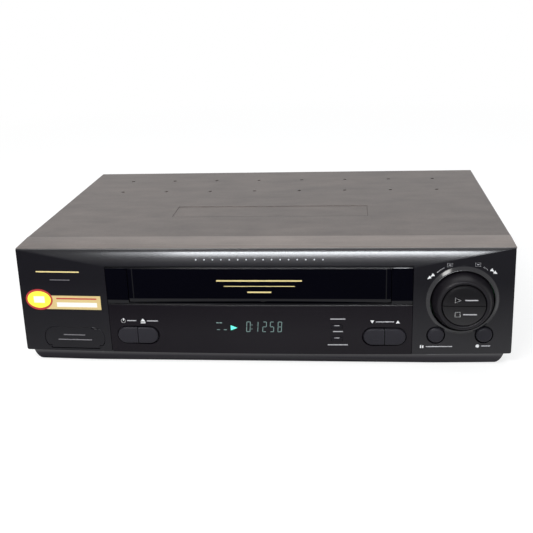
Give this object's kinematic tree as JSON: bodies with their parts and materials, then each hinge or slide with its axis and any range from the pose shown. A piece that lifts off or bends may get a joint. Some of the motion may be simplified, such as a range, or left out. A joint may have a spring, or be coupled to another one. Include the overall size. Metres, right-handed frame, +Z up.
{
  "type": "video cassette recorder",
  "caption": "Front-loading video cassette recorder with a hinged cassette flap, push buttons, jog and shuttle dial, jack door and a full tape deck inside a steel cover.",
  "frame": {"origin": "middle of the footprint, at the underside of the feet", "axes": "+X to the right seen from the front, +Y to the back, +Z up"},
  "size_m": [0.38, 0.2724, 0.094],
  "materials": {
    "cover_paint": "satin",
    "bezel_plastic": "satin",
    "skirt_plastic": "satin",
    "gloss_black": "polished",
    "trim_grey": "satin",
    "fascia_smoke": "satin",
    "flap_gloss": "polished",
    "pan_steel": "zinc plated",
    "rear_paint": "satin",
    "foot_rubber": "matt",
    "screw_black": "blackened",
    "button_plastic": "satin",
    "ring_plastic": "satin",
    "jack_door_plastic": "satin",
    "front_jack_mix": "satin",
    "board_green": "satin",
    "tube_glass": "polished",
    "switch_black": "satin",
    "jack_mix": "satin",
    "tin_plate": "tinned",
    "switch_white": "satin",
    "gland_plastic": "satin",
    "main_board_green": "satin",
    "board_brown": "satin",
    "transformer_core": "varnished",
    "capacitor_sleeve": "shrink sleeve",
    "sink_aluminium": "extruded",
    "deck_steel": "zinc plated",
    "drum_aluminium": "turned",
    "upper_drum_aluminium": "turned",
    "reel_plastic": "satin",
    "capstan_steel": "ground",
    "stator_mix": "satin",
    "arm_steel": "plated",
    "roller_rubber": "matt",
    "guide_metal": "turned",
    "head_case": "satin",
    "head_steel": "polished",
    "pulley_plastic": "satin",
    "belt_rubber": "matt",
    "motor_can": "plated",
    "gear_nylon": "satin",
    "bracket_steel": "zinc plated",
    "slider_plastic": "satin",
    "holder_steel": "zinc plated",
    "screw_zinc": "zinc plated"
  },
  "bodies": {
    "chassis": {"top_cover": "cover_paint", "front_bezel": "bezel_plastic", "front_skirt": "skirt_plastic", "door_surround": "gloss_black", "trim_strip": "trim_grey", "lower_fascia": "fascia_smoke", "bottom_pan": "pan_steel", "rear_panel": "rear_paint", "rubber_feet": "foot_rubber", "cover_screws": "screw_black", "front_jacks": "front_jack_mix", "front_board": "board_green", "display_tube": "tube_glass", "tact_switches": "switch_black", "rear_jacks": "jack_mix", "tuner_module": "tin_plate", "cord_gland": "gland_plastic", "main_board": "main_board_green", "power_board": "board_brown", "transformer": "transformer_core", "capacitors": "capacitor_sleeve", "heat_sink": "sink_aluminium", "deck_plate": "deck_steel", "lower_drum": "drum_aluminium", "capstan_motor": "stator_mix", "erase_head": "head_case", "audio_head": "head_steel", "drive_belt": "belt_rubber", "loading_motor": "motor_can", "carriage_brackets": "bracket_steel", "deck_screws": "screw_zinc"},
    "cassette_flap": {"cassette_flap": "flap_gloss"},
    "power_button": {"power_button": "button_plastic"},
    "eject_button": {"eject_button": "button_plastic"},
    "channel_down_button": {"channel_down_button": "button_plastic"},
    "channel_up_button": {"channel_up_button": "button_plastic"},
    "menu_button": {"menu_button": "button_plastic"},
    "set_button": {"set_button": "button_plastic"},
    "play_button": {"play_button": "button_plastic"},
    "stop_button": {"stop_button": "button_plastic"},
    "pause_button": {"pause_button": "button_plastic"},
    "record_button": {"record_button": "button_plastic"},
    "shuttle_ring": {"shuttle_ring": "ring_plastic"},
    "jack_door": {"jack_door": "jack_door_plastic"},
    "channel_switch": {"channel_switch": "switch_white"},
    "upper_drum": {"upper_drum": "upper_drum_aluminium"},
    "supply_reel": {"supply_reel": "reel_plastic"},
    "take_up_reel": {"take_up_reel": "reel_plastic"},
    "capstan": {"capstan": "capstan_steel"},
    "pinch_arm": {"pinch_arm": "arm_steel"},
    "pinch_roller": {"pinch_roller": "roller_rubber"},
    "tension_arm": {"tension_arm": "arm_steel"},
    "supply_guide": {"supply_guide": "guide_metal"},
    "take_up_guide": {"take_up_guide": "guide_metal"},
    "clutch_pulley": {"clutch_pulley": "pulley_plastic"},
    "motor_pinion": {"motor_pinion": "gear_nylon"},
    "cam_gear": {"cam_gear": "gear_nylon"},
    "carriage_slider": {"carriage_slider": "slider_plastic"},
    "cassette_holder": {"cassette_holder": "holder_steel"},
    "carriage_gear": {"carriage_gear": "gear_nylon"}
  },
  "joints": [
    {"name": "flap_swing", "type": "hinge", "parent": "chassis", "child": "cassette_flap", "pos_m": [-0.0015, -0.12473, 0.0774], "axis": [1, 0, 0], "range_deg": [0, 90], "stiffness_Nm_per_rad": 0.004, "springref_deg": -20.05},
    {"name": "jack_door_drop", "type": "hinge", "parent": "chassis", "child": "jack_door", "pos_m": [-0.14902, -0.12336, 0.0122], "axis": [0.9993, -0.0371, 0], "range_deg": [0, 90]},
    {"name": "power_press", "type": "slide", "parent": "chassis", "child": "power_button", "axis": [0, 1, 0], "range_m": [0, 0.0012], "stiffness_N_per_m": 400, "springref_m": -0.0008},
    {"name": "eject_press", "type": "slide", "parent": "chassis", "child": "eject_button", "axis": [0, 1, 0], "range_m": [0, 0.0012], "stiffness_N_per_m": 400, "springref_m": -0.0008},
    {"name": "channel_down_press", "type": "slide", "parent": "chassis", "child": "channel_down_button", "axis": [0, 1, 0], "range_m": [0, 0.0012], "stiffness_N_per_m": 400, "springref_m": -0.0008},
    {"name": "channel_up_press", "type": "slide", "parent": "chassis", "child": "channel_up_button", "axis": [0, 1, 0], "range_m": [0, 0.0012], "stiffness_N_per_m": 400, "springref_m": -0.0008},
    {"name": "menu_press", "type": "slide", "parent": "chassis", "child": "menu_button", "axis": [0, 1, 0], "range_m": [0, 0.0012], "stiffness_N_per_m": 400, "springref_m": -0.0008},
    {"name": "set_press", "type": "slide", "parent": "chassis", "child": "set_button", "axis": [0, 1, 0], "range_m": [0, 0.0012], "stiffness_N_per_m": 400, "springref_m": -0.0008},
    {"name": "play_press", "type": "slide", "parent": "chassis", "child": "play_button", "axis": [0, 1, 0], "range_m": [0, 0.0012], "stiffness_N_per_m": 400, "springref_m": -0.0008},
    {"name": "stop_press", "type": "slide", "parent": "chassis", "child": "stop_button", "axis": [0, 1, 0], "range_m": [0, 0.0012], "stiffness_N_per_m": 400, "springref_m": -0.0008},
    {"name": "pause_press", "type": "slide", "parent": "chassis", "child": "pause_button", "axis": [0, 1, 0], "range_m": [0, 0.0012], "stiffness_N_per_m": 400, "springref_m": -0.0008},
    {"name": "record_press", "type": "slide", "parent": "chassis", "child": "record_button", "axis": [0, 1, 0], "range_m": [0, 0.0012], "stiffness_N_per_m": 400, "springref_m": -0.0008},
    {"name": "shuttle_turn", "type": "hinge", "parent": "chassis", "child": "shuttle_ring", "pos_m": [0.1515, -0.12273, 0.0526], "axis": [0, 1, 0], "range_deg": [-65, 65], "stiffness_Nm_per_rad": 0.02},
    {"name": "channel_select", "type": "slide", "parent": "chassis", "child": "channel_switch", "axis": [1, 0, 0], "range_m": [0, 0.002]},
    {"name": "carriage_in", "type": "slide", "parent": "chassis", "child": "carriage_slider", "axis": [0, 1, 0], "range_m": [0, 0.02]},
    {"name": "holder_down", "type": "slide", "parent": "carriage_slider", "child": "cassette_holder", "axis": [0, 0, -1], "range_m": [0, 0.022]},
    {"name": "carriage_gear_spin", "type": "hinge", "parent": "chassis", "child": "carriage_gear", "pos_m": [-0.0951, -0.03072, 0.0449], "axis": [1, 0, 0], "range_deg": [-192, 0]},
    {"name": "drum_spin", "type": "hinge", "parent": "chassis", "child": "upper_drum", "pos_m": [0.0023, 0.07427, 0.024], "axis": [0, -0.0872, 0.9962], "continuous": true},
    {"name": "supply_reel_spin", "type": "hinge", "parent": "chassis", "child": "supply_reel", "pos_m": [-0.0437, -0.02173, 0.03], "axis": [0, 0, 1], "continuous": true},
    {"name": "take_up_reel_spin", "type": "hinge", "parent": "chassis", "child": "take_up_reel", "pos_m": [0.0483, -0.02173, 0.03], "axis": [0, 0, 1], "continuous": true},
    {"name": "capstan_spin", "type": "hinge", "parent": "chassis", "child": "capstan", "pos_m": [0.0523, 0.03728, 0.03], "axis": [0, 0, 1], "continuous": true},
    {"name": "clutch_spin", "type": "hinge", "parent": "chassis", "child": "clutch_pulley", "pos_m": [0.0023, -0.00473, 0.014], "axis": [0, 0, 1], "continuous": true},
    {"name": "pinch_arm_swing", "type": "hinge", "parent": "chassis", "child": "pinch_arm", "pos_m": [0.0803, 0.03927, 0.026], "axis": [0, 0, 1], "range_deg": [0, 25]},
    {"name": "pinch_roller_spin", "type": "hinge", "parent": "pinch_arm", "child": "pinch_roller", "pos_m": [0.06047, 0.05377, 0.04], "axis": [0, 0, 1], "continuous": true},
    {"name": "tension_arm_swing", "type": "hinge", "parent": "chassis", "child": "tension_arm", "pos_m": [-0.0757, 0.04228, 0.026], "axis": [0, 0, 1], "range_deg": [-8, 6], "stiffness_Nm_per_rad": 0.02},
    {"name": "supply_guide_load", "type": "hinge", "parent": "chassis", "child": "supply_guide", "pos_m": [0.0341, 0.06938, 0.025], "axis": [0, 0, 1], "range_deg": [-52, 0]},
    {"name": "take_up_guide_load", "type": "hinge", "parent": "chassis", "child": "take_up_guide", "pos_m": [-0.0295, 0.06938, 0.025], "axis": [0, 0, 1], "range_deg": [0, 52]},
    {"name": "cam_gear_spin", "type": "hinge", "parent": "chassis", "child": "cam_gear", "pos_m": [-0.0597, 0.06728, 0.015], "axis": [0, 0, 1], "range_deg": [0, 300]},
    {"name": "motor_pinion_spin", "type": "hinge", "parent": "chassis", "child": "motor_pinion", "pos_m": [-0.0597, 0.09047, 0.015], "axis": [0, 0, 1], "range_deg": [-1440, 0]}
  ],
  "couplings": [
    {"joint": "carriage_gear_spin", "follows": "carriage_in", "rad_per_m": -166.67},
    {"joint": "clutch_spin", "follows": "capstan_spin", "ratio": 0.57143},
    {"joint": "motor_pinion_spin", "follows": "cam_gear_spin", "ratio": -4.8},
    {"joint": "take_up_guide_load", "follows": "supply_guide_load", "ratio": -1}
  ]
}
